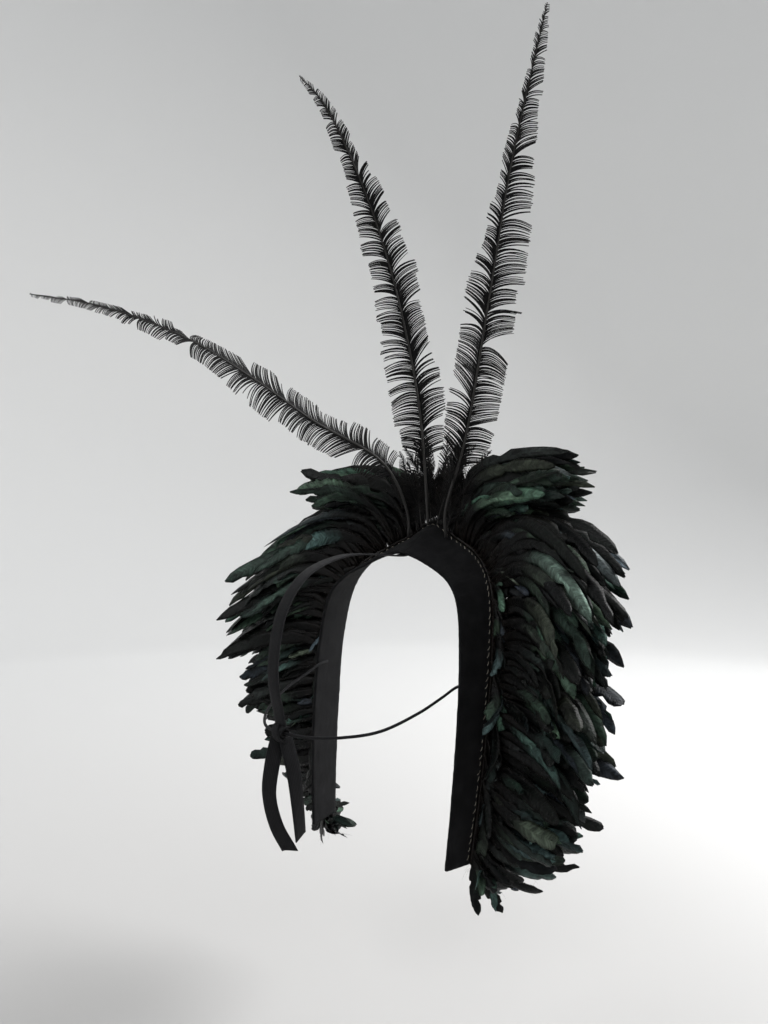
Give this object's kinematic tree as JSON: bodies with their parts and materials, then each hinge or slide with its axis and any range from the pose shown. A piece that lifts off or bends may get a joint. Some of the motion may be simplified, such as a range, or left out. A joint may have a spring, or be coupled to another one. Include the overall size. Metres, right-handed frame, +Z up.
{
  "type": "feathered headdress",
  "caption": "Black feathered headdress: a felt arch that frames the face, with a ruff of curled cock feathers, tall comb-like plumes at its peak and an elastic harness behind the head.",
  "frame": {"origin": "the top of the wearer's head, in the middle of the head's width, where the headdress sits", "axes": "+Z up along the wearer, -Y the way the wearer faces, +X to the wearer's left"},
  "size_m": [0.4302, 0.3324, 0.7044],
  "materials": {
    "felt": "matt black wool felt with pale hand stitches",
    "ruff_feathers": "black cock feathers with a green and blue sheen",
    "plume_feathers": "dull black dyed tail feathers",
    "elastic": "woven black elastic"
  },
  "bodies": {
    "root": {"felt_base": "felt", "ruff_right_crest": "ruff_feathers", "ruff_right_brow": "ruff_feathers", "ruff_right_temple": "ruff_feathers", "ruff_right_cheekbone": "ruff_feathers", "ruff_right_cheek": "ruff_feathers", "ruff_right_jaw": "ruff_feathers", "ruff_right_throat": "ruff_feathers", "ruff_right_hem": "ruff_feathers", "ruff_right_fringe": "ruff_feathers", "ruff_left_crest": "ruff_feathers", "ruff_left_brow": "ruff_feathers", "ruff_left_temple": "ruff_feathers", "ruff_left_cheekbone": "ruff_feathers", "ruff_left_cheek": "ruff_feathers", "ruff_left_jaw": "ruff_feathers", "ruff_left_throat": "ruff_feathers", "ruff_left_hem": "ruff_feathers", "ruff_left_fringe": "ruff_feathers", "crown_tuft": "plume_feathers", "plume_right": "plume_feathers", "plume_centre": "plume_feathers", "plume_left": "plume_feathers", "back_strap": "elastic", "nape_cord": "elastic", "strap_knot": "elastic", "tail_long": "elastic", "tail_short": "elastic"}
  },
  "joints": []
}
